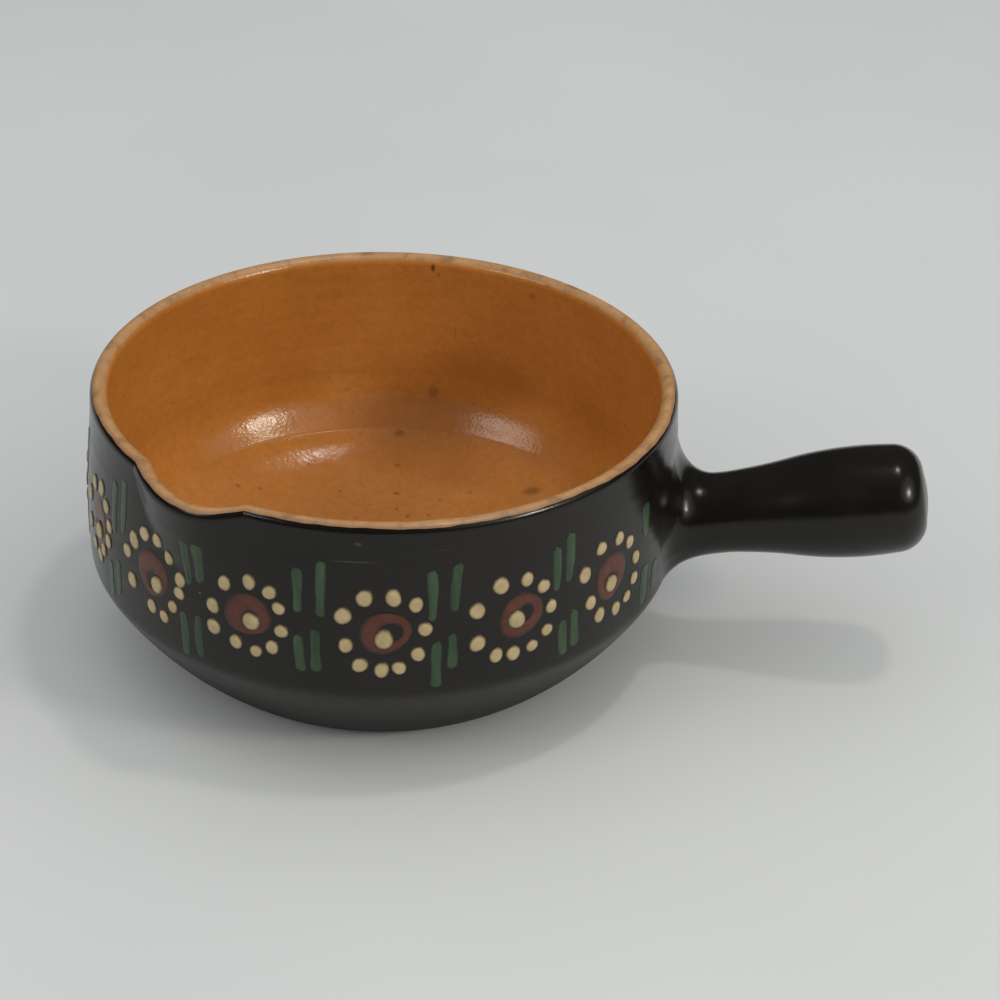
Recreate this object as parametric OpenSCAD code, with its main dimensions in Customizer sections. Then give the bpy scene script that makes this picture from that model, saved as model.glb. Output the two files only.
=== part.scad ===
// Slip-decorated earthenware saucepan: a thrown bowl with a pulled pouring lip and a luted stick handle.
// Millimetres. The bowl stands on z = 0 with its axis on Z, and the handle points along +X.
// Every skin and every slip mark takes its surface from the same outside() and hollow() of the bowl.

/* [Bowl] */
// Height of the bowl from the standing plane to the crest of the rim
bowl_h = 88; // [80:1:100]
// Largest radius of the bowl, at the belly
belly_r = 92; // [84:1:100]
// Height of the belly above the standing plane
belly_z = 42; // [38:1:48]
// Radius of the long arc of the side wall, seen in section
side_arc_r = 462; // [300:10:700]
// How much the radius of the round lower wall, which is centred on the bowl's axis, passes the belly's
lower_swell = 13; // [9:1:20]
// Radius of the flat foot that the bowl stands on
foot_r = 64; // [58:1:70]
// Thickness of the side wall, skins included
side_wall = 5.3; // [4.5:0.1:7]
// Thickness of the round lower wall, skins included
lower_wall = 7; // [5:0.1:8]
// Thickness of the floor at its centre, lining included
floor_t = 7; // [5:0.5:10]
// Radius of the dish of the floor inside
floor_dish_r = 180; // [150:5:300]
// Radius of the rounded bead that ends the wall at the rim
rim_bead_r = 2.95; // [2.75:0.05:3.6]

/* [Pouring lip] */
// Direction of the lip, turned from the handle
lip_angle = -122; // [-150:1:-90]
// Radius of the pulled channel at the middle of its wall
lip_r = 31; // [28:1:42]
// How far the lip stands out past the rim
lip_reach = 6; // [4:0.5:9]
// Lean of the channel, which also lowers the lip's edge
lip_lean = 12; // [10:1:16]
// Length of the channel under the rim
lip_len = 36; // [34:1:40]
// Extra radius of the bead on the lip
lip_bead_extra = 0.15; // [0.1:0.05:0.4]

/* [Skins] */
// Thickness of the dark slip and its glaze outside
slip_t = 0.5; // [0.3:0.1:0.8]
// Thickness of the honey glaze inside and over the rim
glaze_t = 0.5; // [0.3:0.1:0.8]
// Angle outwards from the crest of the rim at which the dark slip begins
slip_line_angle = 43; // [20:1:60]

/* [Handle] */
// Height at which the handle's axis leaves the side wall
handle_z = 45; // [40:1:50]
// Tilt of the handle above level
handle_tilt = 10; // [0:1:15]
// Length of the handle past the side wall
handle_len = 78.5; // [65:0.5:95]
// Radius of the handle at its neck
neck_r = 13; // [10:0.2:14]
// Distance of the neck from the side wall
neck_s = 14; // [12:1:18]
// Largest radius of the handle, near its end
grip_r = 17.3; // [15:0.1:20]
// Distance of the largest radius back from the end of the handle
grip_back = 20; // [16:1:24]
// Radius that rounds the end of the handle
end_round = 9.5; // [7:0.5:12]
// How far the end face bulges
end_dome = 0.8; // [0.5:0.1:3]

/* [Luting coil] */
// Radius of the coil's footprint on the bowl
coil_foot_r = 26; // [24:0.5:28]
// How much higher the coil's footprint lies than the handle
coil_rise = 4; // [0:0.5:5]
// How strongly the coil's hollow curve holds to the handle
coil_neck_pull = 8; // [6:0.5:10]
// How strongly the coil's hollow curve holds to the bowl
coil_wall_pull = 9; // [6:0.5:12]

/* [Slip flowers] */
// Number of flowers round the bowl
flowers = 13; // [8:1:13]
// Angle between neighbouring flowers
flower_step_angle = 23.3; // [23:0.1:24]
// Angle from the handle to the middle of the first flower
first_flower_angle = 36; // [34:1:40]
// Height of the flowers' middles
flower_z = 55; // [52:0.5:58]
// Number of cream dots in a flower's ring
petals = 10; // [8:1:11]
// Radius of the ring of cream dots
petal_ring_r = 11.6; // [10.6:0.1:12.2]
// Radius of a cream dot in the ring
petal_r = 2.5; // [2:0.05:2.8]
// Height of a cream dot above the slip
petal_h = 0.6; // [0.3:0.1:1]
// Outer radius of a rust ring
rust_r = 7.2; // [6:0.1:7.6]
// Radius of the hole in a rust ring
rust_hole_r = 3.1; // [2:0.1:3.6]
// Thickness of the rust slip
rust_t = 0.25; // [0.15:0.05:0.4]
// Radius of the cream dot in the middle of a flower
centre_r = 2.9; // [2:0.1:3.4]
// Height of the cream dot in the middle of a flower
centre_h = 0.7; // [0.3:0.1:1]

/* [Green strokes] */
// Width of a stroke
stroke_w = 3; // [2:0.1:3.4]
// Length of the upper strokes
upper_stroke = 15.5; // [10:0.5:17]
// Length of the lower strokes
lower_stroke = 13; // [8:0.5:14]
// Height of the middle of the upper strokes
upper_stroke_z = 67; // [64:0.5:68]
// Height of the middle of the lower strokes
lower_stroke_z = 43.5; // [42:0.5:46]
// Angle between the two strokes of a pair
stroke_gap_angle = 3.8; // [3:0.1:4.4]
// Thickness of the green slip
stroke_t = 0.3; // [0.15:0.05:0.4]

/* [Hidden] */
$fn = 96;
// Finer rounds for the long arcs of the walls, and coarser ones for the small dots
arc_fn = 720;
ball_fn = 360;
dot_fn = 64;

// Centre of the side wall's arc, and radius and centre of the round lower wall
side_cx = belly_r - side_arc_r;
lower_wall_r = belly_r + lower_swell;
lower_cz = sqrt(pow(lower_wall_r, 2) - pow(foot_r, 2));
// Height and radius of the middle of the wall where the rim's bead sits
rim_z = bowl_h - rim_bead_r;
rim_c = side_cx + sqrt(pow(side_arc_r - side_wall / 2, 2) - pow(rim_z - belly_z, 2));
// Place of the lip's channel, whose edge meets the rim where the two beads cross
lip_x = rim_c + lip_reach - lip_r;
lip_cross = (pow(rim_c, 2) - pow(lip_r, 2) + pow(lip_x, 2)) / (2 * lip_x) - lip_x;
lip_z = rim_z + lip_cross * tan(lip_lean);
// Room above the rim for the cutting solids, and how far solids that meet at the rim run into each other
above = 20;
overlap = 1;
// Handle: where its axis leaves the wall, its swell, and where its end begins to round
root_x = side_cx + sqrt(pow(side_arc_r, 2) - pow(handle_z - belly_z, 2));
root_sink = 20;
grip_s = handle_len - grip_back;
swell_mid = (neck_s + grip_s) / 2;
swell_r = (pow(grip_s - neck_s, 2) + pow(grip_r - neck_r, 2)) / (4 * (grip_r - neck_r));
corner_s = handle_len - end_dome - end_round;
handle_steps = 20;
corner_step = 10;
dome_step = 0.25;
// Height of the middle of the coil's footprint, and its hollow curve's hold on the bowl, limited by the neck
coil_z = handle_z + coil_rise;
wall_pull = min(coil_wall_pull, coil_foot_r - coil_rise - neck_r);
// Slices and steps of the luting coil
coil_slices = 48;
curve_steps = 8;
seat_steps = 3;
rise_step = 0.5;
hit_tries = 5;
// Shift of a flower's hole from its middle, and how far a stroke narrows
hole_shift = 1.1;
stroke_taper_share = 0.75;
// Radius of a slip dot's crown, as a share of its own
crown_share = 0.6;
// Difference in height between the two strokes of a pair
stroke_stagger = 1.9;
// Turns that scatter the unevenness of hand work over the marks
sway_turn_angle = 137.5;
sway_step_angle = 73;
// Unevenness of the places of flowers, dots and strokes, in degrees
flower_sway_angle = 0.5;
petal_sway_angle = 3;
stroke_sway_angle = 0.2;
// Unevenness of the width of the dots' ring and of the dots, as a share of their size
ring_sway_share = 0.03;
dot_sway_share = 0.06;

// Radius of the outside at a height, less an inset
function outside_r(z, inset) = min(side_cx + sqrt(pow(side_arc_r - inset, 2) - pow(z - belly_z, 2)),
                                   sqrt(pow(lower_wall_r - inset, 2) - pow(lower_cz - z, 2)));
// Where a line along X meets the outside
function outside_x(y, z, inset) = sqrt(pow(outside_r(z, inset), 2) - y * y);
// Small unevenness of hand work, from -1 to 1, different for each mark
function sway(i, k) = sin(i * sway_turn_angle + k * sway_step_angle);

// Bowl

module outside_section(inset) {
    intersection() {
        translate([side_cx, belly_z]) circle(side_arc_r - inset, $fn = arc_fn);
        translate([0, lower_cz]) circle(lower_wall_r - inset, $fn = ball_fn);
        square([2 * belly_r, rim_z]);
    }
}

module hollow_section(grow) {
    intersection() {
        translate([side_cx, belly_z]) circle(side_arc_r - side_wall + grow, $fn = arc_fn);
        translate([0, lower_cz]) circle(lower_wall_r - lower_wall + grow, $fn = ball_fn);
        translate([0, floor_t - grow + floor_dish_r]) circle(floor_dish_r, $fn = arc_fn);
        square([2 * belly_r, rim_z + overlap]);
    }
}

module at_lip() {
    rotate([0, 0, lip_angle]) translate([lip_x, 0, lip_z]) rotate([0, lip_lean, 0]) children();
}

// Space inside the rim, up past the crest
module inside_rim(grow) {
    translate([0, 0, rim_z]) cylinder(h = above, r = rim_c - side_wall / 2 + grow);
}

// Space inside the lip's channel, up past its edge
module inside_lip(grow) {
    at_lip() translate([0, 0, -lip_len]) cylinder(h = lip_len + above, r = lip_r - side_wall / 2 + grow);
}

module outside(inset) {
    union() {
        rotate_extrude() outside_section(inset);
        at_lip() translate([0, 0, -lip_len]) cylinder(h = lip_len, r = lip_r + side_wall / 2 - inset);
    }
}

module hollow(grow) {
    union() {
        rotate_extrude() hollow_section(grow);
        inside_rim(grow);
        inside_lip(grow);
    }
}

// Rounded edge that runs along the rim as far as the channel, and then round the lip
module rim_bead(less) {
    difference() {
        rotate_extrude() translate([rim_c, rim_z]) circle(rim_bead_r - less);
        inside_lip(less);
    }
    difference() {
        at_lip() rotate_extrude() translate([lip_r, 0]) circle(rim_bead_r + lip_bead_extra - less);
        cylinder(h = bowl_h + above, r = rim_c + less);
    }
}

module ware(inset, grow) {
    union() {
        difference() {
            outside(inset);
            hollow(grow);
        }
        rim_bead(grow);
    }
}

module bowl() {
    color("sandybrown") ware(slip_t, glaze_t);
}

// Skins

// Cone that passes through a bead's middle circle, of radius r, and opens at the angle where the slip begins
module slip_line_cone(r) {
    spread = tan(slip_line_angle);
    translate([0, 0, -overlap]) cylinder(h = overlap + above, r1 = r - overlap * spread, r2 = r + above * spread);
}

// Everything inside the middle of the wall, and inside the line where the slip begins
module inner_zone() {
    union() {
        outside(side_wall / 2);
        translate([0, 0, rim_z]) slip_line_cone(rim_c);
        at_lip() slip_line_cone(lip_r);
    }
}

module honey_glaze_lining() {
    color("darkorange") intersection() {
        difference() {
            ware(0, 0);
            ware(slip_t, glaze_t);
        }
        inner_zone();
    }
}

module dark_slip_coat() {
    color([0.12, 0.09, 0.08]) difference() {
        union() {
            outside(0);
            rim_bead(0);
        }
        outside(slip_t);
        rim_bead(glaze_t);
        inner_zone();
        translate([0, 0, coil_z]) rotate([0, 90, 0]) cylinder(h = 2 * belly_r, r = coil_foot_r);
    }
}

// Handle

function handle_point(s) = [root_x + s * cos(handle_tilt), 0, handle_z + s * sin(handle_tilt)];

// Radius of the handle at a distance from the wall: a straight neck, a hollow arc, then a full one
function handle_r(s) = s < neck_s ? neck_r :
                       s < swell_mid ? neck_r + swell_r - sqrt(swell_r * swell_r - pow(s - neck_s, 2)) :
                       grip_r - swell_r + sqrt(swell_r * swell_r - pow(s - grip_s, 2));

module at_handle() {
    translate(handle_point(0)) rotate([0, 90 - handle_tilt, 0]) children();
}

module handle_section() {
    corner_r = handle_r(corner_s);
    polygon(concat(
        [[0, -root_sink], [neck_r, -root_sink]],
        [for (i = [0:handle_steps])
            let (s = neck_s + (corner_s - neck_s) * i / handle_steps) [handle_r(s), s]],
        [for (a = [corner_step:corner_step:90 - corner_step])
            [corner_r - end_round * (1 - cos(a)), corner_s + end_round * sin(a)]],
        [for (u = [1:-dome_step:0]) [(corner_r - end_round) * u, handle_len - end_dome * u * u]]
    ));
}

module handle() {
    color([0.14, 0.10, 0.08]) difference() {
        at_handle() rotate_extrude() handle_section();
        rotate_extrude() outside_section(slip_t);
    }
}

// Luting coil

// Point on the handle's neck, turned by a from the top, at a distance s from the wall
function neck_point(a, s) =
    handle_point(s) + neck_r * [-sin(handle_tilt) * cos(a), sin(a), cos(handle_tilt) * cos(a)];
// Distance at which that line along the neck meets the clay
function neck_hit(a, s = 0, tries = hit_tries) =
    let (p = neck_point(a, s), gap = p[0] - outside_x(p[1], p[2], slip_t))
    tries == 0 ? s : neck_hit(a, s - gap / cos(handle_tilt), tries - 1);
// Point on the bowl at a radius from the middle of the footprint, turned by a from the top
function foot_point(a, r, inset) =
    let (y = r * sin(a), z = coil_z + r * cos(a)) [outside_x(y, z, inset), y, z];
function unit(v) = v / norm(v);
function bezier(p, t) =
    let (u = 1 - t) u * u * u * p[0] + 3 * u * u * t * p[1] + 3 * u * t * t * p[2] + t * t * t * p[3];

// One closed slice of the coil: the hollow curve, back along the neck, and out along the clay
function coil_slice(a) =
    let (
        edge = foot_point(a, coil_foot_r, 0),
        rise = unit(foot_point(a, coil_foot_r - rise_step, 0) - edge),
        neck = neck_point(a, neck_s),
        curve = [edge, edge + wall_pull * rise, neck_point(a, neck_s - coil_neck_pull), neck],
        hit = neck_hit(a),
        root = neck_point(a, hit),
        rim = foot_point(a, coil_foot_r, slip_t)
    )
    concat(
        [for (i = [0:curve_steps]) bezier(curve, i / curve_steps)],
        [for (i = [1:seat_steps]) neck_point(a, neck_s + (hit - neck_s) * i / seat_steps)],
        [for (i = [1:seat_steps])
            let (p = root + (rim - root) * i / seat_steps) [outside_x(p[1], p[2], slip_t), p[1], p[2]]]
    );

module luting_coil() {
    ring = curve_steps + 1 + 2 * seat_steps;
    points = [for (i = [0:coil_slices - 1]) each coil_slice(360 * i / coil_slices)];
    faces = [for (i = [0:coil_slices - 1]) for (j = [0:ring - 1])
                let (a = i * ring, b = ((i + 1) % coil_slices) * ring, k = (j + 1) % ring)
                each [[a + j, b + j, b + k], [a + j, b + k, a + k]]];
    color([0.16, 0.11, 0.09]) polyhedron(points, faces);
}

// Slip marks

// Middle of a flower, and of the strokes before it, turned from the handle
function flower_angle(i) = -(first_flower_angle + i * flower_step_angle) + flower_sway_angle * sway(i, 0);
function gap_angle(i) = -(first_flower_angle + (i - 0.5) * flower_step_angle);
// Angle that a distance along the wall takes up
function along(d, z) = d / outside_r(z, 0) * 180 / PI;

// Puts a mark on the wall with its back against the slip
module on_wall(a, z) {
    rotate([0, 0, a]) translate([outside_r(z, 0), 0, z])
        rotate([0, 90 - asin((z - belly_z) / side_arc_r), 0]) children();
}

// A drop of slip, drawn in towards its crown
module slip_dot(r, h) {
    cylinder(h = h, r1 = r, r2 = r * crown_share, $fn = dot_fn);
}

// Thin layer of slip on the outside
module slip_layer(t) {
    difference() {
        outside(-t);
        outside(0);
    }
}

module cream_petal_dots() {
    color("cornsilk") for (i = [0:flowers - 1], k = [0:petals - 1]) {
        turn = 360 * (k + 0.5) / petals + petal_sway_angle * sway(i, k);
        reach = petal_ring_r * (1 + ring_sway_share * sway(k, i));
        size = petal_r * (1 + dot_sway_share * sway(k, i + 1));
        z = flower_z + reach * cos(turn);
        on_wall(flower_angle(i) + along(reach * sin(turn), z), z) slip_dot(size, petal_h);
    }
}

module rust_rings() {
    color("saddlebrown") intersection() {
        slip_layer(rust_t);
        for (i = [0:flowers - 1]) on_wall(flower_angle(i), flower_z) difference() {
            translate([0, 0, -rust_r]) cylinder(h = 2 * rust_r, r = rust_r);
            translate([-hole_shift, hole_shift, -2 * rust_r]) cylinder(h = 4 * rust_r, r = rust_hole_r);
        }
    }
}

module cream_centre_dots() {
    color("cornsilk") for (i = [0:flowers - 1])
        on_wall(flower_angle(i) - along(hole_shift, flower_z), flower_z - hole_shift)
            translate([0, 0, rust_t]) slip_dot(centre_r, centre_h);
}

// Outline of one brush stroke, broad at its top
module stroke_outline(l) {
    foot_w = stroke_w * stroke_taper_share;
    half = l / 2;
    translate([-half + stroke_w / 2, 0]) circle(stroke_w / 2);
    translate([half - foot_w / 2, 0]) circle(foot_w / 2);
    polygon([[-half + stroke_w / 2, -stroke_w / 2], [-half + stroke_w / 2, stroke_w / 2],
             [half - foot_w / 2, foot_w / 2], [half - foot_w / 2, -foot_w / 2]]);
}

module stroke(a, z, l) {
    rotate([0, 0, a]) translate([belly_r / 2, 0, z]) rotate([0, 90, 0])
        linear_extrude(belly_r) stroke_outline(l);
}

module green_strokes() {
    color("seagreen") intersection() {
        slip_layer(stroke_t);
        for (i = [0:flowers], side = [-1, 1]) {
            middle = gap_angle(i) + side * stroke_gap_angle / 2;
            stagger = side * stroke_stagger / 2;
            stroke(middle + stroke_sway_angle * sway(i, side), upper_stroke_z + stagger, upper_stroke);
            stroke(middle + stroke_sway_angle * sway(side, i), lower_stroke_z + stagger, lower_stroke);
        }
    }
}

bowl();
honey_glaze_lining();
dark_slip_coat();
handle();
luting_coil();
cream_petal_dots();
rust_rings();
cream_centre_dots();
green_strokes();
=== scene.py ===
import math

import bmesh
import bpy
import numpy as np
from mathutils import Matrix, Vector


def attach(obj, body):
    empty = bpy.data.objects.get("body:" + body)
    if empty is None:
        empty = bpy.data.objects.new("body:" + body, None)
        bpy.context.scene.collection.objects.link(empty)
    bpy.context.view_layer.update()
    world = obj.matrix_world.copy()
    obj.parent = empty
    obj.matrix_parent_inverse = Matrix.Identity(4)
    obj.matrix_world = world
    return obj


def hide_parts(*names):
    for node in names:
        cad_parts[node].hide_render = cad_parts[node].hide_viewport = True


# Slip-decorated earthenware saucepan. Sizes are in millimetres and turned into metres when a mesh is made.
# The bowl's axis is Z, the handle points along +X, and angles round the bowl are in degrees from +X.

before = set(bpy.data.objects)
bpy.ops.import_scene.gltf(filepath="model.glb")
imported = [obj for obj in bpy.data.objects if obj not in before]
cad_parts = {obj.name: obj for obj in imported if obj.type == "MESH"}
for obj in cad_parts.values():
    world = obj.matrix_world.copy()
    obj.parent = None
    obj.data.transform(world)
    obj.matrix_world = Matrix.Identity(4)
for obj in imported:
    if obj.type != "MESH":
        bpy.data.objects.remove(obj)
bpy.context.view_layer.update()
MM = 0.001

# Bowl, in section
BOWL_H = 88.0
BELLY_R = 92.0
BELLY_Z = 42.0
SIDE_ARC_R = 462.0
LOWER_WALL_R = 105.0
FOOT_R = 64.0
FOOT_EDGE_R = 1.2
SIDE_WALL = 5.3
LOWER_WALL = 7.0
FLOOR_Z = 7.0
FLOOR_DISH_R = 180.0
TURN_Z = 25.4
RIM_BEAD_R = 2.95
RIM_FLARE = 0.3
SWELLING_R = 74.3
SWELLING_ANGLE = 123.0
SWELLING_H = 1.35
SHOULDER_BLEND = 1.6
SIDE_CX = BELLY_R - SIDE_ARC_R
LOWER_CZ = math.sqrt(LOWER_WALL_R ** 2 - FOOT_R ** 2)
RIM_Z = BOWL_H - RIM_BEAD_R
RIM_C = SIDE_CX + math.sqrt((SIDE_ARC_R - SIDE_WALL / 2) ** 2 - (RIM_Z - BELLY_Z) ** 2)
SLIP_LINE = 43.0

# Pouring lip: a channel pulled out of the wall, leaning outwards
LIP_LEFT = -136.8
LIP_TIP = -120.0
LIP_RIGHT = -109.2
LIP_REACH = 6.0
LIP_DEPTH = 24.0
LIP_DIP = 0.30
LIP_NARROW = 0.8

# The rim was thrown a little off the foot's axis
RIM_SHIFT = 0.9
RIM_SHIFT_ANGLE = 58.0

# Handle
HANDLE_Z = 45.0
HANDLE_TILT = math.radians(10.0)
HANDLE_LEN = 78.5
NECK_R = 13.0
NECK_S = 14.0
GRIP_R = 17.3
GRIP_BACK = 20.0
END_ROUND = 9.5
END_DOME = 0.8
WAIST = 0.25
COIL_FOOT_R = 26.0
COIL_RISE = 4.0
COIL_NECK_PULL = 9.2
COIL_PULL_SWAY = 2.0
COIL_FRONT_PULL = 6.0
COIL_WALL_PULL = 9.0
ROOT_X = SIDE_CX + math.sqrt(SIDE_ARC_R ** 2 - (HANDLE_Z - BELLY_Z) ** 2)
GRIP_S = HANDLE_LEN - GRIP_BACK
SWELL_MID = (NECK_S + GRIP_S) / 2
SWELL_R = ((GRIP_S - NECK_S) ** 2 + (GRIP_R - NECK_R) ** 2) / (4 * (GRIP_R - NECK_R))

# Slip marks
DOT_R = 2.4
DOT_H = 0.6
RUST_R = 7.3
RUST_H = 0.25
CENTRE_R = 2.9
CENTRE_H = 0.75
STROKE_W = 3.2
ON_COIL_WIDTH = 1.35
STROKE_H = 0.22

# Mesh steps
ROUND_STEPS = 600
BEAD_STEPS = 24
rng = np.random.default_rng(7)


def smooth_min(a, b, k):
    h = np.maximum(k - np.abs(a - b), 0) / k
    return np.minimum(a, b) - h * h * k / 4


def smooth_max(a, b, k):
    return -smooth_min(-a, -b, k)


# Form of the bowl

def wave(angle, z, seed):
    """Low waves of hand work, from about -1 to 1, periodic round the bowl."""
    a = np.radians(angle)
    total = np.sin(2 * a + seed) + 0.7 * np.sin(3 * a + 1.7 * seed + z / 19) + 0.5 * np.sin(5 * a + 2.9 * seed - z / 13)
    return total / 2.2


def rings(z, pitch, seed):
    """Throwing rings: ridges that a potter's fingers leave."""
    return np.sin(2 * math.pi * z / pitch + seed) + 0.5 * np.sin(2 * math.pi * z / (pitch * 0.61) + 2 * seed)


def smooth_step(t):
    t = np.clip(t, 0, 1)
    return t * t * (3 - 2 * t)


def lip_bulge(angle, z, narrow=0.0):
    """How far the pulled lip stands out: a long flank on its left and a steep one on its right."""
    depth = np.clip(1 - (RIM_Z - z) / LIP_DEPTH, 0, 1)
    width = np.sqrt(depth) + 1e-6
    left = np.clip((LIP_TIP - angle) / ((LIP_TIP - LIP_LEFT - narrow) * width), 0, 1)
    right = np.clip((angle - LIP_TIP) / ((LIP_RIGHT - LIP_TIP - narrow) * width), 0, 1)
    flank = np.where(angle < LIP_TIP, np.cos(left * math.pi / 2), (1 - right ** 2) ** 1.1)
    return LIP_REACH * depth * flank


def rim_shift(angle, z):
    return RIM_SHIFT * np.cos(np.radians(angle - RIM_SHIFT_ANGLE)) * smooth_step((z - 45) / 40)


def wrapped(angle):
    """The same angle between -180 and 180."""
    return (angle + 180) % 360 - 180


def outside_r(angle, z):
    side = SIDE_CX + np.sqrt(SIDE_ARC_R ** 2 - (z - BELLY_Z) ** 2)
    lower = np.sqrt(LOWER_WALL_R ** 2 - (LOWER_CZ - z) ** 2)
    r = smooth_min(side, lower, SHOULDER_BLEND)
    r = r - 0.12 - 0.10 * wave(angle, z, 1.0) - 0.02 * rings(z, 7.0, 0.4)
    flare = RIM_FLARE * np.exp((np.minimum(z, RIM_Z) - RIM_Z) / 2.4)
    return r + flare + rim_shift(angle, z) + lip_bulge(wrapped(angle), z)


def inside_r(angle, z):
    side = SIDE_CX + np.sqrt((SIDE_ARC_R - SIDE_WALL) ** 2 - (z - BELLY_Z) ** 2)
    lower = np.sqrt((LOWER_WALL_R - LOWER_WALL) ** 2 - (LOWER_CZ - z) ** 2)
    r = smooth_min(side, lower, 2 * SHOULDER_BLEND)
    r = r + 0.10 * wave(angle, z, 2.0) + 0.025 * rings(z, 6.0, 1.1)
    return r + rim_shift(angle, z) + lip_bulge(wrapped(angle), z, LIP_NARROW)


def floor_z(angle, r):
    """The dished floor, with a soft swelling that the potter's fingers left on the far side."""
    swelling = np.exp(-((r - SWELLING_R) / 5) ** 2 - (wrapped(angle - SWELLING_ANGLE) / 20) ** 2)
    dish = FLOOR_Z + r * r / (2 * FLOOR_DISH_R)
    return dish + SWELLING_H * swelling + 0.02 * rings(r, 8.5, 0.2) + 0.08 * wave(angle, r, 3.0)


def rim_height(angle):
    """Height of the middle of the rim's bead, which dips where the lip is pulled out."""
    return RIM_Z - 0.06 - 0.06 * wave(angle, 0, 4.0) - LIP_DIP * lip_bulge(wrapped(angle), RIM_Z)


def wall_point(angle, z, height=0.0):
    """Point on the outside, lifted off it by a height."""
    a = np.radians(angle)
    r = outside_r(angle, z)
    slope = (outside_r(angle, z + 0.2) - outside_r(angle, z - 0.2)) / 0.4
    turn = (outside_r(angle + 0.1, z) - outside_r(angle - 0.1, z)) / (math.radians(0.2) * r)
    n = np.stack([np.cos(a) + turn * np.sin(a), np.sin(a) - turn * np.cos(a), -slope], -1)
    n /= np.linalg.norm(n, axis=-1, keepdims=True)
    p = np.stack([r * np.cos(a), r * np.sin(a), z + 0 * r], -1)
    return p + n * np.asarray(height)[..., None]


# Meshes

def grid_faces(rows, cols, wrap):
    """Quads of a grid whose points run along each row first."""
    faces = []
    for i in range(rows - 1):
        for j in range(cols if wrap else cols - 1):
            k = (j + 1) % cols
            faces.append((i * cols + j, i * cols + k, (i + 1) * cols + k, (i + 1) * cols + j))
    return faces


def make_piece(name, points, faces, material, nodes=()):
    """A smooth mesh in metres that rides on the body and stands for CAD nodes."""
    mesh = bpy.data.meshes.new(name)
    mesh.from_pydata([tuple(p) for p in np.asarray(points).reshape(-1, 3) * MM], [], faces)
    tidy = bmesh.new()
    tidy.from_mesh(mesh)
    bmesh.ops.recalc_face_normals(tidy, faces=tidy.faces)
    tidy.to_mesh(mesh)
    tidy.free()
    mesh.shade_smooth()
    piece = bpy.data.objects.new(name, mesh)
    bpy.context.scene.collection.objects.link(piece)
    piece.data.materials.append(material)
    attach(piece, "root")
    if nodes:
        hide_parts(*nodes)
    return piece


def point_values(piece, name, values):
    """Stores a number for each point, which the piece's material reads by name."""
    piece.data.attributes.new(name, "FLOAT", "POINT").data.foreach_set("value", values)


def round_angles():
    """Angles round the bowl, closer together where the lip's flanks are steep."""
    even = np.linspace(-180, 180, 2881)[:-1]
    dense = 1 + 4 * np.exp(-((even - LIP_RIGHT) / 2.5) ** 2) + 3 * np.exp(-((even - LIP_LEFT) / 2.5) ** 2)
    share = np.concatenate([[0], np.cumsum(dense)])
    return np.interp(np.arange(ROUND_STEPS) / ROUND_STEPS * share[-1], share, np.append(even, 180))


def around(r, angle, z):
    a = np.radians(angle)
    return np.stack([r * np.cos(a), r * np.sin(a), z], -1)


def bead_rows(angle, start, end, steps):
    """Rows of the rim's rounded edge from one angle of its section to another, 0 being outwards and 90 up."""
    z = rim_height(angle)
    out = outside_r(angle, z)
    inn = inside_r(angle, z)
    mid = (out + inn) / 2
    half = (out - inn) / 2
    rows = []
    for i in range(steps + 1):
        t = np.radians(start + (end - start) * i / steps)
        rows.append(around(mid + half * np.cos(t), angle, z + RIM_BEAD_R * np.sin(t)))
    return rows


def slip_edge(angle):
    """Angle of the bead's section where the dark slip begins, uneven as a dipped edge is."""
    a = np.radians(angle)
    wander = np.sin(7 * a + 1) + 0.6 * np.sin(17 * a + 2) + 0.4 * np.sin(41 * a) + 0.3 * np.sin(83 * a + 1)
    return 90 - SLIP_LINE + 3.5 * wander


def make_outer_skin(material):
    angle = round_angles()
    top = rim_height(angle)
    rows = []
    for t in np.linspace(0, 90, 6):
        edge_z = FOOT_EDGE_R * (1 - math.cos(math.radians(t)))
        inset = FOOT_EDGE_R * (1 - math.sin(math.radians(t)))
        z = np.full_like(angle, edge_z)
        rows.append(around(outside_r(angle, z) - inset, angle, z))
    for f in np.linspace(0, 1, 90)[1:]:
        z = FOOT_EDGE_R + (top - FOOT_EDGE_R) * f
        rows.append(around(outside_r(angle, z), angle, z))
    rows += bead_rows(angle, 0, slip_edge(angle), 12)[1:]
    return make_piece("outer_slip_skin", rows, grid_faces(len(rows), ROUND_STEPS, True), material,
                      ["dark_slip_coat"])


def make_inner_skin(material):
    angle = round_angles()
    top = rim_height(angle)
    rows = bead_rows(angle, slip_edge(angle), 180, BEAD_STEPS)
    for f in np.linspace(0, 1, 60)[1:]:
        z = top + (TURN_Z - top) * f
        rows.append(around(inside_r(angle, z), angle, z))
    turn_r = inside_r(angle, np.full_like(angle, TURN_Z))
    join = TURN_Z - floor_z(angle, turn_r)
    for inwards in np.linspace(0, 1, 78)[1:]:
        f = 1 - 0.996 * inwards ** 1.3
        r = turn_r * f
        rows.append(around(r, angle, floor_z(angle, r) + join * f ** 20))
    faces = grid_faces(len(rows), ROUND_STEPS, True)
    faces.append(tuple((len(rows) - 1) * ROUND_STEPS + j for j in range(ROUND_STEPS)))
    piece = make_piece("inner_honey_glaze", rows, faces, material, ["honey_glaze_lining"])
    point_values(piece, "worn_rim", [max(0.0, 1 - i / BEAD_STEPS) for i in range(len(rows)) for _ in range(ROUND_STEPS)])
    return piece


def make_foot(material):
    angle = round_angles()
    z = np.zeros_like(angle)
    edge = outside_r(angle, z) - FOOT_EDGE_R
    rows = [around(edge * f, angle, z) for f in np.linspace(1, 0.01, 60)]
    faces = grid_faces(len(rows), ROUND_STEPS, True)
    faces.append(tuple((len(rows) - 1) * ROUND_STEPS + j for j in range(ROUND_STEPS)))
    return make_piece("foot_clay", rows, faces, material, ["bowl"])


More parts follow.
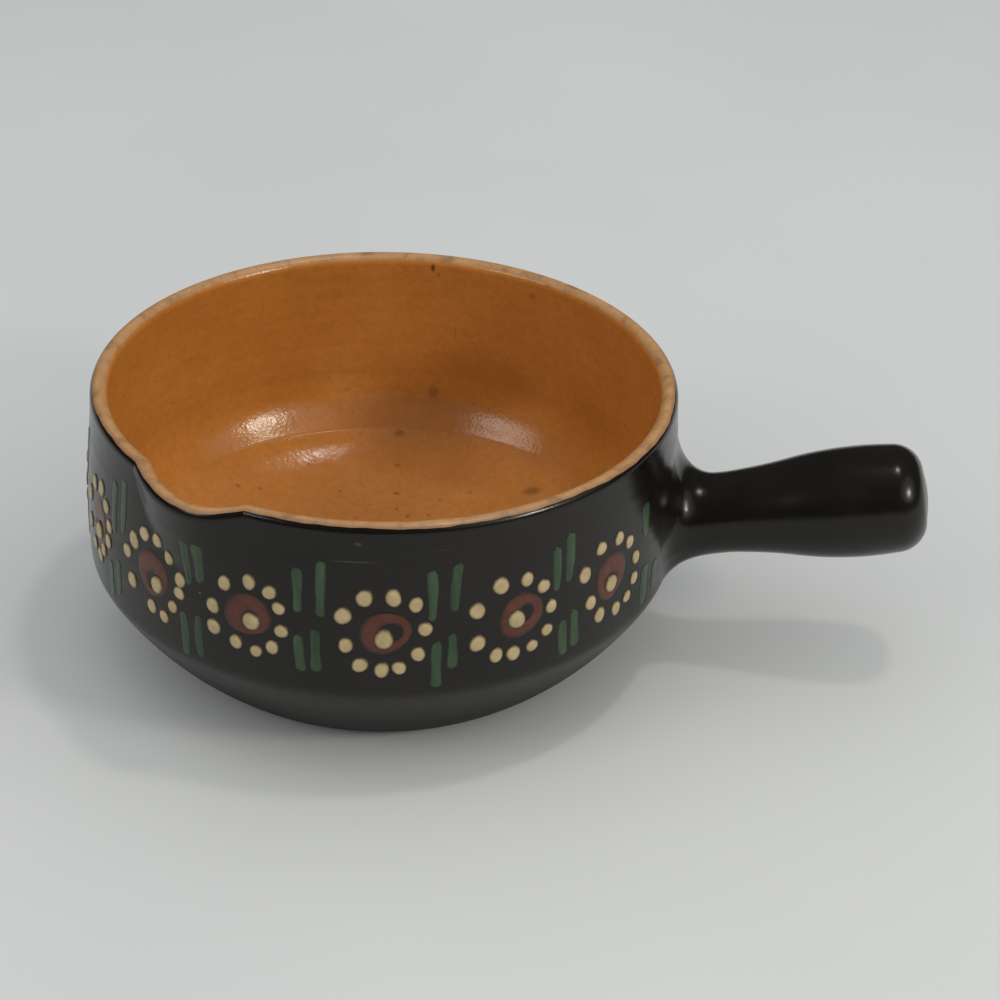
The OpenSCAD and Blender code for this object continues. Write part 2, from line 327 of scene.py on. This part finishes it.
def handle_point(s):
    return np.array([ROOT_X + s * math.cos(HANDLE_TILT), 0, HANDLE_Z + s * math.sin(HANDLE_TILT)])


def handle_r(s):
    waist = WAIST * math.exp(-((s - NECK_S - 2) / 6) ** 2)
    if s < NECK_S:
        return NECK_R - waist
    if s < SWELL_MID:
        return NECK_R - waist + SWELL_R - math.sqrt(SWELL_R ** 2 - (s - NECK_S) ** 2)
    return GRIP_R - SWELL_R + math.sqrt(SWELL_R ** 2 - (s - GRIP_S) ** 2)


def handle_ring(s, r, angle):
    """Ring of points round the handle's axis; angle 0 is at the top."""
    side = np.array([0, 1, 0])
    up = np.array([-math.sin(HANDLE_TILT), 0, math.cos(HANDLE_TILT)])
    a = np.radians(angle)[:, None]
    uneven = 1 - 0.004 - 0.004 * np.sin(2 * a + s / 15) - 0.003 * np.sin(3 * a + s / 9)
    return handle_point(s) + r * uneven * (np.sin(a) * side + np.cos(a) * up)


def coil_edge(r, angle):
    """Points on the wall at a radius from the middle of the coil's footprint."""
    a = np.radians(angle)
    y = r * np.sin(a)
    z = HANDLE_Z + COIL_RISE + r * np.cos(a)
    turn = np.degrees(np.arcsin(y / BELLY_R))
    for _ in range(4):
        turn = np.degrees(np.arcsin(y / outside_r(turn, z)))
    return wall_point(turn, z, -0.05 + 0 * z)


def make_handle(material):
    steps = 144
    angle = np.arange(steps) * 360 / steps
    foot = coil_edge(COIL_FOOT_R, angle)
    rise = coil_edge(COIL_FOOT_R - 1, angle) - foot
    rise /= np.linalg.norm(rise, axis=1, keepdims=True)
    facing = np.maximum(np.cos(np.radians(angle - 311)), 0) ** 2
    neck_pull = (COIL_NECK_PULL - COIL_PULL_SWAY * np.cos(np.radians(angle)) + COIL_FRONT_PULL * facing)[:, None]
    neck = handle_ring(NECK_S, handle_r(NECK_S), angle)
    along = handle_point(1) - handle_point(0)
    rows = []
    for t in np.linspace(0, 1, 36):
        u = 1 - t
        rows.append(u ** 3 * foot + 3 * u * u * t * (foot + COIL_WALL_PULL * rise)
                    + 3 * u * t * t * (neck - neck_pull * along) + t ** 3 * neck)
    corner_s = HANDLE_LEN - END_DOME - END_ROUND
    corner_r = handle_r(corner_s)
    for s in np.linspace(NECK_S, corner_s, 50)[1:]:
        rows.append(handle_ring(s, handle_r(s), angle))
    for t in np.linspace(0, 90, 16)[1:]:
        back = 1 - math.cos(math.radians(t))
        rows.append(handle_ring(corner_s + END_ROUND * math.sin(math.radians(t)), corner_r - END_ROUND * back, angle))
    for f in np.linspace(1, 0.03, 12)[1:]:
        rows.append(handle_ring(HANDLE_LEN - END_DOME * f * f, (corner_r - END_ROUND) * f, angle))
    faces = grid_faces(len(rows), steps, True)
    faces.append(tuple((len(rows) - 1) * steps + j for j in range(steps)))
    return make_piece("stick_handle", rows, faces, material, ["handle", "luting_coil"])


# Slip marks

class Marks:
    """Gathers many small marks into one piece."""

    def __init__(self):
        self.points = []
        self.faces = []
        self.thin = []

    def add(self, grid, thin, closed=True):
        """Adds one mark; thin says for each of its rows how thin the slip is there, 1 at its very edge."""
        rows, cols = grid.shape[:2]
        base = len(self.points)
        self.points += list(grid.reshape(-1, 3))
        self.thin += [t for t in thin for _ in range(cols)]
        self.faces += [tuple(base + i for i in f) for f in grid_faces(rows, cols, True)]
        if closed:
            self.faces.append(tuple(base + (rows - 1) * cols + j for j in range(cols)))

    def make(self, name, material, node):
        piece = make_piece(name, self.points, self.faces, material, [node])
        point_values(piece, "thin", self.thin)


def on_wall(angle, z, across, up, height):
    """Points on the wall at distances across and up from a place, lifted by a height."""
    r = outside_r(np.full_like(across, angle), np.full_like(across, z))
    return wall_point(angle + np.degrees(across / r), z + up, height)


DROP_ROWS = (1.0, 0.985, 0.95, 0.88, 0.76, 0.6, 0.4, 0.2, 0.04)
DROP_THIN = (1.0, 0.95, 0.8, 0.6, 0.35, 0.12, 0.0, 0.0, 0.0)


def blob(angle, z, radius, height, stretch=1.0, lean=0.0, wobble=0.04, steps=32):
    """A drop of slip: a low dome with a rounded foot and a slightly uneven outline."""
    turn = np.arange(steps) * 2 * math.pi / steps
    shape = 1 + wobble * np.sin(2 * turn + rng.uniform(0, 6)) + wobble / 2 * np.sin(3 * turn + rng.uniform(0, 6))
    rows = []
    for f in DROP_ROWS:
        across = radius * shape * f * np.cos(turn)
        up = radius * shape * f * np.sin(turn) * stretch
        tilted = across * math.cos(lean) - up * math.sin(lean)
        up = across * math.sin(lean) + up * math.cos(lean)
        lift = height * (1 - f ** 2.6) ** 0.5 - 0.04
        rows.append(on_wall(angle, z, tilted, up, np.full(steps, lift)))
    return np.array(rows)


# Flowers that the photograph shows: angle and height of the middle, clock angles of the dots, their distances,
# and the heart: place of the cream dot, radius and place of the hole in the rust, and how tall the rust is
FLOWERS = [
    (-36.0, 55.6, (18, 50, 88, 119, 144, 168, 203, 238, 293, 337),
     (11.5, 11.5, 12.5, 13.5, 14, 13, 12.5, 10.5, 12.5, 12), (-0.3, -2.6, 2.2, -0.2, -2.0, 1.2)),
    (-57.3, 54.7, (330, 9, 44, 90, 131, 162, 191, 214, 245, 288),
     (13, 11.5, 10.5, 10, 11.5, 12, 12.5, 14, 15, 14.5), (-1.6, -0.9, 2.3, 1.4, 0.6, 1.04)),
    (-82.6, 54.5, (332, 12, 45, 86, 128, 161, 184, 213, 248, 293),
     (12.5, 11.5, 12.5, 11.5, 12, 12.5, 12.5, 13, 12, 13), (-0.3, -2.1, 2.9, 1.9, 0.3, 0.94)),
    (-107.9, 55.2, (316, 2, 38, 67, 107, 140, 167, 200, 236, 267),
     (11, 10.5, 11, 10.5, 11, 12, 12, 11, 13.5, 11.5), (1.3, -2.0, 2.2, 1.1, -1.6, 0.96)),
    (-130.0, 55.8, (307, 340, 10, 41, 77, 99, 131, 159, 183, 235, 277),
     (11.5, 12, 12, 11, 12, 11.5, 11.5, 13.5, 11.5, 12.5, 13), (2.2, -2.9, 2.3, 0.3, -2.4, 1.15)),
    (-151.3, 55.8, (333, 7, 35, 70, 105, 151, 176, 206, 245, 290),
     (12, 12.5, 10.5, 9.5, 8.5, 8.5, 11, 11, 11.5, 12), (1.0, -2.4, 2.4, 0.2, -1.5, 1.1)),
]
HIDDEN_FLOWERS = 7
HIDDEN_STEP = 24.0
HIDDEN_START = -175.2

# Strokes that the photograph shows: angle of the foot, heights of the foot and the top, lean and taper
STROKES = [
    (-24.4, 60, 71.5, 0.0, 0.0), (-24.6, 36, 50, 0.05, 0.1), (-19.6, 38, 48, 0.05, 0.0),
    (-49.7, 59, 73.5, 0.02, 0.15), (-46.7, 60.5, 76.5, 0.06, 0.15),
    (-48.3, 36, 48.5, -0.05, -0.1), (-45.5, 37.5, 50.5, -0.05, -0.1),
    (-74.0, 57.5, 74, 0.0, 0.2), (-69.9, 60, 75.5, 0.08, 0.15),
    (-73.4, 35, 51, 0.0, -0.05), (-70.4, 41, 53, 0.0, -0.1),
    (-98.4, 59, 73.5, -0.03, 0.15), (-94.2, 58.5, 76.5, 0.0, 0.1),
    (-98.0, 39.5, 52, -0.08, -0.1), (-95.0, 40, 54.5, -0.03, -0.1),
    (-120.6, 58, 74.5, 0.03, 0.15), (-117.8, 60, 74.5, 0.03, 0.15),
    (-121.6, 33.5, 48.5, -0.05, 0.0), (-118.4, 35, 49.5, -0.03, 0.0),
    (-143.7, 58.5, 76, 0.0, 0.1), (-140.0, 61.5, 79, 0.0, 0.1),
    (-145.2, 35, 48, 0.0, 0.0), (-141.8, 38.5, 51, 0.0, 0.0),
]


def all_flowers():
    """The flowers in front, and the same pattern carried on round the back."""
    flowers = list(FLOWERS)
    for i in range(HIDDEN_FLOWERS):
        clock = [36 * k + 12 + rng.uniform(-5, 5) for k in range(10)]
        reach = [12 + rng.uniform(-0.9, 0.9) for k in range(10)]
        place = HIDDEN_START - i * HIDDEN_STEP + rng.uniform(-0.8, 0.8)
        heart = (rng.uniform(-1, 1), rng.uniform(-2.6, -1.4), 2.7, rng.uniform(0.4, 1.6), rng.uniform(-0.6, 0.6),
                 rng.uniform(0.95, 1.12))
        flowers.append((place, 55 + rng.uniform(-0.6, 0.6), clock, reach, heart))
    return flowers


def all_strokes():
    """The strokes in front, and the same pattern carried on round the back."""
    strokes = list(STROKES)
    for i in range(HIDDEN_FLOWERS + 1):
        middle = HIDDEN_START - (i - 0.5) * HIDDEN_STEP + rng.uniform(-0.5, 0.5) - (4.5 if i == 0 else 0)
        for side in (-1, 1):
            for foot, top in ((59, 75), (37, 50.5)):
                jitter = rng.uniform(-0.8, 0.8)
                strokes.append((middle + side * 1.7, foot + side + jitter, top + side + jitter,
                                rng.uniform(-0.05, 0.05), rng.uniform(-0.1, 0.15)))
    return strokes


def make_petal_dots(material):
    marks = Marks()
    for angle, z, clock, distance, _ in all_flowers():
        for c, reach in zip(clock, distance):
            turn = math.radians(c)
            r = float(outside_r(np.array([angle]), np.array([z]))[0])
            place = angle + math.degrees(reach * math.sin(turn) / r)
            size = DOT_R * (1 + 0.08 * math.cos(turn + 1)) * rng.uniform(0.9, 1.06)
            marks.add(blob(place, z + reach * math.cos(turn), size, DOT_H,
                           rng.uniform(1.04, 1.18), rng.uniform(-0.3, 0.3)), DROP_THIN)
    marks.make("petal_dots", material, "cream_petal_dots")


def make_centre_dots(material):
    marks = Marks()
    for angle, z, _, _, heart in all_flowers():
        dot_x, dot_z = heart[:2]
        place = angle + math.degrees(dot_x / BELLY_R)
        marks.add(blob(place, z + dot_z, CENTRE_R * rng.uniform(0.95, 1.04), CENTRE_H + RUST_H,
                       rng.uniform(1.05, 1.15), rng.uniform(-0.4, 0.4)), DROP_THIN)
    marks.make("centre_dots", material, "cream_centre_dots")


RUST_ROWS = (0.0, 0.02, 0.07, 0.2, 0.5, 0.8, 0.93, 0.98, 1.0)
RUST_THIN = (1.0, 0.9, 0.7, 0.3, 0.0, 0.3, 0.7, 0.9, 1.0)


def make_rust_rings(material):
    marks = Marks()
    steps = 56
    turn = np.arange(steps) * 2 * math.pi / steps
    for angle, z, _, _, heart in all_flowers():
        _, _, hole_r, hole_x, hole_z, tall = heart
        outer = RUST_R * (1 + 0.05 * np.sin(2 * turn + rng.uniform(0, 6)) + 0.03 * np.sin(3 * turn + rng.uniform(0, 6)))
        hole = hole_r * (1 + 0.10 * np.sin(2 * turn + rng.uniform(0, 6)))
        rows = []
        for f in RUST_ROWS:
            across = outer * np.cos(turn) * (1 - f) / tall ** 0.5 + (hole * np.cos(turn) + hole_x) * f
            up = outer * np.sin(turn) * (1 - f) * tall ** 0.5 + (hole * np.sin(turn) + hole_z) * f
            lift = RUST_H * (1 - abs(2 * f - 1) ** 5) - 0.03
            rows.append(on_wall(angle, z, across, up, np.full(steps, lift)))
        marks.add(np.array(rows), RUST_THIN, closed=False)
    marks.make("rust_blobs", material, "rust_rings")


def stadium(length, width, steps):
    """Outline of a band with round ends, in even steps, as distances across and up."""
    straight = length - width
    path = np.arange(steps) / steps * (2 * straight + math.pi * width) - straight / 2
    across, up = [], []
    for d in path:
        side = 1 if d < straight / 2 + math.pi * width / 2 else -1
        d = d if side == 1 else d - straight - math.pi * width / 2
        if d < straight / 2:
            across.append(side * width / 2)
            up.append(side * d)
        else:
            turn = (d - straight / 2) / (width / 2)
            across.append(side * width / 2 * math.cos(turn))
            up.append(side * (straight / 2 + width / 2 * math.sin(turn)))
    return np.array(across), np.array(up)


STROKE_ROWS = (1.0, 0.97, 0.88, 0.7, 0.45, 0.2, 0.03)
STROKE_THIN = (1.0, 0.8, 0.5, 0.2, 0.05, 0.0, 0.0)


def stroke(angle, z, length, width, lean, taper):
    """One brush stroke: round ends, one end broader, its sides slightly uneven and its back a little bent."""
    across, up = stadium(length, width, 72)
    end = up / (length / 2)
    phase = rng.uniform(0, 6)
    bend = rng.uniform(-0.4, 0.4)
    middle = up * (1 - width / length)
    rows = []
    for f in STROKE_ROWS:
        rise = middle + (up - middle) * f
        side = across * f * (1 + taper * end + 0.07 * np.sin(up / 1.9 + phase)) + up * lean + bend * end ** 2
        lift = STROKE_H * (1 - f ** 4) ** 0.5 - 0.03
        rows.append(on_wall(angle, z, side, rise, np.full(len(up), lift)))
    return np.array(rows)


def make_strokes(material):
    marks = Marks()
    for angle, foot, top, lean, taper in all_strokes():
        width = STROKE_W * rng.uniform(0.92, 1.08) * (ON_COIL_WIDTH if abs(angle) < 25 else 1)
        marks.add(stroke(angle, (foot + top) / 2, top - foot, width, lean, taper), STROKE_THIN)
    marks.make("green_brush_strokes", material, "green_strokes")


# Materials

class Nodes:
    """Builds a material's node tree with short calls."""

    def __init__(self, name):
        self.material = bpy.data.materials.new(name)
        self.material.use_nodes = True
        self.tree = self.material.node_tree
        self.shader = self.tree.nodes["Principled BSDF"]
        self.place = self.add("ShaderNodeTexCoord").outputs["Object"]

    def add(self, kind, **values):
        node = self.tree.nodes.new(kind)
        for key, value in values.items():
            setattr(node, key, value)
        return node

    def link(self, source, target):
        self.tree.links.new(source, target)

    def noise(self, scale, detail=4.0, rough=0.55, stretch=(1, 1, 1), distort=0.0):
        mapping = self.add("ShaderNodeMapping")
        mapping.inputs["Scale"].default_value = stretch
        self.link(self.place, mapping.inputs["Vector"])
        node = self.add("ShaderNodeTexNoise")
        node.inputs["Scale"].default_value = scale
        node.inputs["Detail"].default_value = detail
        node.inputs["Roughness"].default_value = rough
        node.inputs["Distortion"].default_value = distort
        self.link(mapping.outputs["Vector"], node.inputs["Vector"])
        return node.outputs["Fac"]

    def spots(self, scale, size):
        """Round spots: 1 in each spot and 0 elsewhere."""
        node = self.add("ShaderNodeTexVoronoi")
        node.inputs["Scale"].default_value = scale
        self.link(self.place, node.inputs["Vector"])
        return self.ramp(node.outputs["Distance"], [(0.0, 1.0), (size, 0.0)])

    def ramp(self, source, stops):
        """A colour ramp over (position, grey) or (position, (r, g, b)) stops."""
        node = self.add("ShaderNodeValToRGB")
        bar = node.color_ramp
        while len(bar.elements) < len(stops):
            bar.elements.new(0.5)
        for element, (position, value) in zip(bar.elements, stops):
            element.position = position
            colour = value if isinstance(value, tuple) else (value, value, value)
            element.color = (*colour, 1)
        self.link(source, node.inputs["Fac"])
        return node.outputs["Color"]

    def mix(self, factor, a, b, kind="MIX"):
        node = self.add("ShaderNodeMix", data_type="RGBA", blend_type=kind)
        for value, socket in ((factor, node.inputs[0]), (a, node.inputs[6]), (b, node.inputs[7])):
            if isinstance(value, tuple):
                socket.default_value = (*value, 1)
            elif isinstance(value, float):
                socket.default_value = value
            else:
                self.link(value, socket)
        return node.outputs[2]

    def math(self, kind, a, b=0.0):
        node = self.add("ShaderNodeMath", operation=kind)
        for value, socket in ((a, node.inputs[0]), (b, node.inputs[1])):
            if isinstance(value, float):
                socket.default_value = value
            else:
                self.link(value, socket)
        return node.outputs[0]

    def axis(self, name):
        node = self.add("ShaderNodeSeparateXYZ")
        self.link(self.place, node.inputs[0])
        return node.outputs[name]

    def attribute(self, name):
        return self.add("ShaderNodeAttribute", attribute_name=name).outputs["Fac"]

    def stain(self, place, size, ragged=0.5):
        """A ragged mark at a place in millimetres: 1 in its middle and 0 outside."""
        away = self.add("ShaderNodeVectorMath", operation="SUBTRACT")
        self.link(self.place, away.inputs[0])
        away.inputs[1].default_value = [v * MM for v in place]
        scaled = self.add("ShaderNodeVectorMath", operation="DIVIDE")
        self.link(away.outputs[0], scaled.inputs[0])
        scaled.inputs[1].default_value = [v * MM for v in size]
        length = self.add("ShaderNodeVectorMath", operation="LENGTH")
        self.link(scaled.outputs[0], length.inputs[0])
        frayed = self.math("ADD", length.outputs["Value"], self.math("MULTIPLY", self.noise(900, 3, 0.6), ragged))
        return self.ramp(frayed, [(0.55, 1.0), (1.0, 0.0)])

    def stained(self, base, stains, colour):
        """The base colour with each stain of a list laid over it."""
        for place, size, strength in stains:
            base = self.mix(self.math("MULTIPLY", self.stain(place, size), strength), base, colour)
        return base

    def bump(self, height, strength, distance):
        node = self.add("ShaderNodeBump")
        node.inputs["Strength"].default_value = strength
        node.inputs["Distance"].default_value = distance
        self.link(height, node.inputs["Height"])
        self.link(node.outputs["Normal"], self.shader.inputs["Normal"])

    def set(self, name, value):
        socket = self.shader.inputs[name]
        if hasattr(value, "is_output"):
            self.link(value, socket)
        elif isinstance(value, tuple):
            socket.default_value = (*value, 1)
        else:
            socket.default_value = value


# Scratches and pale specks outside, drips, chips and smudges inside, and patches of painted shade on the far inner
# wall: place, size and strength
SCRATCHES = [
    ((3.5, -90.5, 76.8), (12, 6, 0.32), 0.13), ((4, -90, 82.5), (1.8, 6, 0.9), 0.12),
    ((-43, -81, 57), (0.7, 4, 0.7), 0.3),
    ((28, -87, 80), (5, 8, 0.25), 0.06), ((60, -70, 36), (6, 6, 0.25), 0.06),
]
DRIPS = [
    ((6, 85, 84.5), (1.2, 4, 2.6), 0.85), ((8, 85, 82), (0.6, 4, 1.8), 0.5),
    ((45, 72, 86.5), (2.2, 2.2, 1.0), 0.7), ((40, 75, 81), (2.6, 3, 2.2), 0.35),
    ((-65, 54.5, 80.5), (0.8, 0.8, 0.8), 0.7), ((-84.6, 15, 67), (0.8, 0.8, 0.8), 0.7),
    ((14, 85, 60), (0.5, 3, 5), 0.30), ((7, 85, 37), (3.5, 4, 4), 0.35),
    ((-4, 78, 24), (4, 3, 2), 0.5), ((44, 52, 20), (6, 3, 3), 0.5),
    ((-3, 65, 19), (2.0, 1.2, 3), 0.4), ((-2, 53, 15), (2.0, 1.3, 3), 0.5), ((-21, 51, 16), (1.5, 1.0, 3), 0.4),
    ((-54, 42, 20), (1.6, 1.2, 3), 0.45), ((-47, 44, 19), (1.6, 1.2, 3), 0.4), ((3, 43, 12), (1.5, 1.1, 3), 0.5),
    ((-1, 46, 13), (1.2, 0.8, 3), 0.5), ((-10, 47, 13), (1.0, 0.8, 3), 0.4), ((13, 51, 15), (1.2, 1.0, 3), 0.35),
    ((10, 44, 13), (1.4, 1.0, 3), 0.4), ((-14, 40, 12), (1.2, 0.9, 3), 0.35), ((23, 54, 17), (1.6, 1.1, 3), 0.35),
]
# Painted shade: dark patches on the far inner wall and the floor's edge below it, where less light falls
FAR_WALL_SHADE = [
    ((25, 80, 46), (42, 14, 16), 0.35), ((4, 80, 31), (46, 22, 18), 0.5), ((8, 70, 21), (42, 18, 12), 0.3),
    ((20, 60, 18), (22, 10, 6), 0.2),
]


def dark_glaze():
    n = Nodes("dark_slip_glaze")
    cloud = n.noise(28, 5, 0.6)
    base = n.ramp(cloud, [(0.3, (0.0040, 0.0032, 0.0022)), (0.55, (0.0065, 0.0050, 0.0034)), (0.8, (0.011, 0.0065, 0.0042))])
    brown = n.ramp(n.noise(90, 4, 0.6), [(0.62, 0.0), (0.75, 0.6)])
    base = n.mix(brown, base, (0.014, 0.0075, 0.005))
    n.set("Base Color", n.stained(base, SCRATCHES, (0.32, 0.25, 0.17)))
    wipe = n.noise(40, 4, 0.6, stretch=(1, 1, 7))
    gloss = n.ramp(n.mix(0.5, n.noise(140, 4, 0.6), wipe), [(0.3, 0.16), (0.7, 0.27)])
    near_foot = n.ramp(n.math("DIVIDE", n.axis("Z"), 0.036), [(0.35, 1.0), (1.0, 0.0)])
    n.set("Roughness", n.mix(near_foot, gloss, (0.60, 0.60, 0.60)))
    n.set("IOR", 1.4)
    height = n.mix(0.25, n.noise(260, 3, 0.5), n.noise(1100, 2, 0.5))
    n.bump(height, 0.10, 0.0006)
    return n.material


def honey_glaze():
    n = Nodes("honey_glaze")
    cloud = n.noise(22, 6, 0.6)
    base = n.ramp(cloud, [(0.25, (0.36, 0.127, 0.022)), (0.5, (0.42, 0.156, 0.029)), (0.75, (0.47, 0.187, 0.039))])
    dull = n.ramp(n.mix(0.5, n.noise(35, 5, 0.6), n.noise(12, 3, 0.5)), [(0.35, (0.35, 0.135, 0.031)), (0.65, (0.45, 0.182, 0.044))])
    on_floor = n.ramp(n.math("DIVIDE", n.axis("Z"), 0.03), [(0.35, 1.0), (0.85, 0.0)])
    base = n.mix(on_floor, base, dull)
    grain = n.ramp(n.noise(420, 3, 0.6), [(0.3, 0.35), (0.7, 0.65)])
    base = n.mix(0.25, base, grain, "OVERLAY")
    # Painted shade: the far inner wall is darkened with these patches
    base = n.stained(base, FAR_WALL_SHADE, (0.20, 0.065, 0.014))
    specks = n.math("MULTIPLY", n.spots(210, 0.12), n.ramp(n.noise(45, 2, 0.5), [(0.5, 0.0), (0.60, 0.8)]))
    base = n.mix(specks, base, (0.10, 0.045, 0.02))
    edge = n.math("ADD", n.attribute("worn_rim"), n.math("MULTIPLY", n.noise(90, 4, 0.6), 0.2))
    band = n.ramp(edge, [(0.30, 0.0), (0.42, 1.0)])
    worn = n.ramp(n.noise(150, 6, 0.7), [(0.35, (0.23, 0.118, 0.055)), (0.48, (0.365, 0.190, 0.075)), (0.65, (0.42, 0.230, 0.098))])
    outer = n.ramp(n.attribute("worn_rim"), [(0.78, 0.0), (1.0, 0.75)])
    worn = n.mix(outer, worn, (0.20, 0.10, 0.055))
    worn = n.mix(n.ramp(n.noise(700, 3, 0.7), [(0.58, 0.0), (0.68, 0.45)]), worn, (0.19, 0.11, 0.07))
    base = n.mix(band, base, worn)
    n.set("Base Color", n.stained(base, DRIPS, (0.045, 0.026, 0.012)))
    gloss = n.ramp(n.noise(90, 4, 0.6), [(0.3, 0.12), (0.7, 0.22)])
    n.set("Roughness", n.mix(band, gloss, (0.33, 0.33, 0.33)))
    n.set("IOR", 1.5)
    n.bump(n.mix(0.5, n.noise(300, 4, 0.55), n.noise(800, 3, 0.6)), 0.24, 0.0007)
    return n.material


def slip_material(name, dark, mid, light, rough, under):
    """A slip whose colour clouds a little, and lets the dark glaze through where it is thin."""
    n = Nodes(name)
    base = n.ramp(n.noise(300, 4, 0.6), [(0.3, dark), (0.5, mid), (0.7, light)])
    thin = n.math("ADD", n.attribute("thin"), n.math("MULTIPLY", n.noise(500, 3, 0.6), 0.5))
    n.set("Base Color", n.mix(n.ramp(thin, [(0.45, 0.0), (1.2, 1.0)]), base, under))
    n.set("Roughness", n.ramp(n.noise(200, 3, 0.5), [(0.3, rough), (0.7, rough + 0.12)]))
    n.set("IOR", 1.42)
    n.bump(n.noise(700, 3, 0.5), 0.15, 0.0004)
    return n.material


def green_slip():
    n = Nodes("green_slip")
    streak = n.noise(260, 4, 0.6, stretch=(1, 1, 0.12))
    base = n.ramp(streak, [(0.3, (0.015, 0.030, 0.014)), (0.5, (0.024, 0.051, 0.022)), (0.7, (0.040, 0.078, 0.034))])
    thin = n.math("ADD", n.attribute("thin"), n.math("MULTIPLY", n.noise(400, 3, 0.6), 0.6))
    n.set("Base Color", n.mix(n.ramp(thin, [(0.5, 0.0), (1.2, 1.0)]), base, (0.010, 0.014, 0.008)))
    n.set("Roughness", n.ramp(n.noise(200, 3, 0.5), [(0.3, 0.2), (0.7, 0.32)]))
    n.set("IOR", 1.42)
    n.bump(streak, 0.2, 0.0004)
    return n.material


def bare_clay():
    n = Nodes("bare_clay")
    cloud = n.noise(40, 6, 0.65)
    base = n.ramp(cloud, [(0.3, (0.30, 0.16, 0.085)), (0.55, (0.40, 0.23, 0.125)), (0.8, (0.48, 0.30, 0.17))])
    n.set("Base Color", n.mix(n.ramp(n.noise(600, 3, 0.7), [(0.62, 0.0), (0.72, 0.7)]), base, (0.16, 0.08, 0.045)))
    n.set("Roughness", 0.85)
    n.bump(n.noise(800, 5, 0.7), 0.5, 0.0006)
    return n.material


def floor_material():
    n = Nodes("pale_floor")
    n.set("Base Color", n.ramp(n.noise(3, 4, 0.5), [(0.3, (0.488, 0.495, 0.493)), (0.7, (0.532, 0.539, 0.535))]))
    n.set("Roughness", 0.7)
    n.set("Specular IOR Level", 0.2)
    return n.material


# Floor, light and camera

CAMERA_AT = (0.08595, -0.70042, 0.46427)
CAMERA_TURN = (59.2398, -1.5349, 4.9133)
CAMERA_LENS = 93.6
ROOM_LIGHT = 0.92
ROOM_MIRRORED = 0.08


def make_floor():
    bpy.ops.mesh.primitive_plane_add(size=6, location=(0, 0, 0))
    floor = bpy.context.object
    floor.name = "floor"
    floor.data.materials.append(floor_material())


def make_lamp(name, azimuth, elevation, distance, size, power, colour=(1, 1, 1)):
    """A soft round lamp that looks at the pot. Azimuth 0 is at the camera, and 90 on its right."""
    a = math.radians(azimuth - 86)
    e = math.radians(elevation)
    way = Vector((math.cos(a) * math.cos(e), math.sin(a) * math.cos(e), math.sin(e)))
    lamp = bpy.data.lights.new(name, "AREA")
    lamp.shape = "ELLIPSE"
    lamp.size, lamp.size_y = size
    lamp.energy = power
    lamp.color = colour
    obj = bpy.data.objects.new(name, lamp)
    obj.location = Vector((0, 0, 0.05)) + way * distance
    obj.rotation_euler = way.to_track_quat("Z", "Y").to_euler()
    bpy.context.scene.collection.objects.link(obj)


def make_world():
    """A soft even room, darker in reflections so that the glaze keeps its depth."""
    world = bpy.data.worlds.new("room")
    world.use_nodes = True
    tree = world.node_tree
    back = tree.nodes["Background"]
    back.inputs["Color"].default_value = (0.94, 0.955, 0.98, 1)
    path = tree.nodes.new("ShaderNodeLightPath")
    level = tree.nodes.new("ShaderNodeMapRange")
    level.inputs["To Min"].default_value = ROOM_LIGHT
    level.inputs["To Max"].default_value = ROOM_MIRRORED
    tree.links.new(path.outputs["Is Glossy Ray"], level.inputs["Value"])
    height = tree.nodes.new("ShaderNodeSeparateXYZ")
    tree.links.new(tree.nodes.new("ShaderNodeTexCoord").outputs["Generated"], height.inputs[0])
    brighter_above = tree.nodes.new("ShaderNodeMath")
    brighter_above.operation = "MULTIPLY_ADD"
    brighter_above.inputs[1].default_value = 0.9
    brighter_above.inputs[2].default_value = 0.4
    tree.links.new(height.outputs["Z"], brighter_above.inputs[0])
    strength = tree.nodes.new("ShaderNodeMath")
    strength.operation = "MULTIPLY"
    tree.links.new(level.outputs["Result"], strength.inputs[0])
    tree.links.new(brighter_above.outputs[0], strength.inputs[1])
    tree.links.new(strength.outputs[0], back.inputs["Strength"])
    bpy.context.scene.world = world


def make_camera():
    camera = bpy.data.cameras.new("camera")
    camera.lens = CAMERA_LENS
    camera.sensor_width = 36
    obj = bpy.data.objects.new("camera", camera)
    obj.location = CAMERA_AT
    obj.rotation_euler = [math.radians(v) for v in CAMERA_TURN]
    bpy.context.scene.collection.objects.link(obj)
    bpy.context.scene.camera = obj


make_camera()
make_world()
make_floor()
make_lamp("ceiling_lamp", 97, 76, 1.6, (0.14, 0.14), 3.2, (1.0, 0.97, 0.93))
make_lamp("right_window", 60, 28, 1.5, (0.32, 0.2), 5.2, (1.0, 0.98, 0.80))
make_lamp("right_wall", 60, 34, 1.8, (1.9, 1.3), 3.6, (1.0, 1.0, 0.98))
make_lamp("left_window", -57, 32, 1.5, (0.7, 0.4), 2.6, (1.0, 1.0, 0.93))

dark = dark_glaze()
cream = slip_material("cream_slip", (0.35, 0.265, 0.13), (0.41, 0.315, 0.16), (0.46, 0.37, 0.205), 0.25, (0.06, 0.038, 0.02))
rust = slip_material("rust_slip", (0.062, 0.017, 0.008), (0.082, 0.022, 0.010), (0.108, 0.032, 0.016), 0.22,
                     (0.020, 0.010, 0.006))
make_outer_skin(dark)
make_inner_skin(honey_glaze())
make_foot(bare_clay())
make_handle(dark)
make_petal_dots(cream)
make_rust_rings(rust)
make_centre_dots(cream)
make_strokes(green_slip())

bpy.context.scene.view_settings.view_transform = "Standard"
